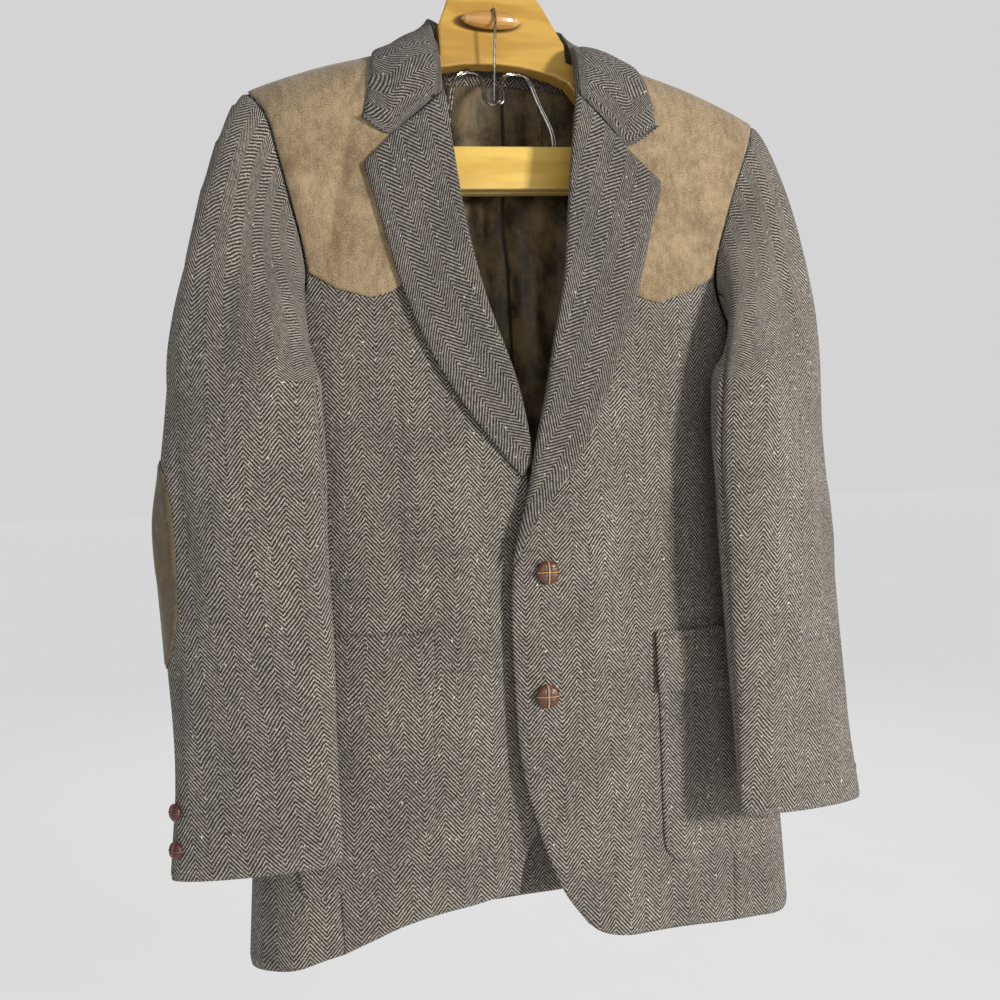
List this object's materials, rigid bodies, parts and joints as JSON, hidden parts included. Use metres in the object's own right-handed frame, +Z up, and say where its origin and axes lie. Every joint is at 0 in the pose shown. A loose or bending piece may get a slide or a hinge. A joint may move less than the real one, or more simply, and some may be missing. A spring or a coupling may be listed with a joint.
{
  "type": "tweed hacking jacket",
  "caption": "Single-breasted herringbone tweed jacket with notch lapels, suede shoulder yokes, elbow patches and flapped pockets, hung on a wooden hanger.",
  "frame": {"origin": "inside top of the hanger's hook, where the rod or peg carries everything", "axes": "+Z up, +X towards the wearer's left side, -Y out of the jacket's front"},
  "size_m": [0.6085, 0.1841, 0.9089],
  "materials": {
    "tweed": "wool herringbone tweed, brown-black and pale grey-brown",
    "suede": "napped tan suede",
    "satin": "olive brown satin lining",
    "leather": "woven brown leather, polished",
    "dark_leather": "woven dark brown leather, polished",
    "maple": "clear-lacquered pale wood",
    "steel": "bright plated steel wire"
  },
  "bodies": {
    "root": {"back_left": "tweed", "back_right": "tweed", "bar_wire_left": "steel", "bar_wire_right": "steel", "button_cuff_left_1": "dark_leather", "button_cuff_left_2": "dark_leather", "button_cuff_right_1": "dark_leather", "button_cuff_right_2": "dark_leather", "button_front_1": "leather", "button_front_2": "leather", "clamp_leg_left": "steel", "clamp_leg_right": "steel", "collar": "tweed", "elbow_patch_left": "suede", "elbow_patch_right": "suede", "flap_left": "tweed", "flap_right": "tweed", "front_left": "tweed", "front_right": "tweed", "hanger_board": "maple", "hanger_hook": "steel", "lapel_left": "tweed", "lapel_right": "tweed", "lining_back": "satin", "pocket_left": "tweed", "pocket_right": "tweed", "side_body_left": "tweed", "side_body_right": "tweed", "sleeve_top_left": "tweed", "sleeve_top_right": "tweed", "sleeve_under_left": "tweed", "sleeve_under_right": "tweed", "toggle": "maple", "toggle_wire": "steel", "trouser_bar_back": "maple", "trouser_bar_front": "maple", "yoke_left": "suede", "yoke_right": "suede"}
  },
  "joints": []
}
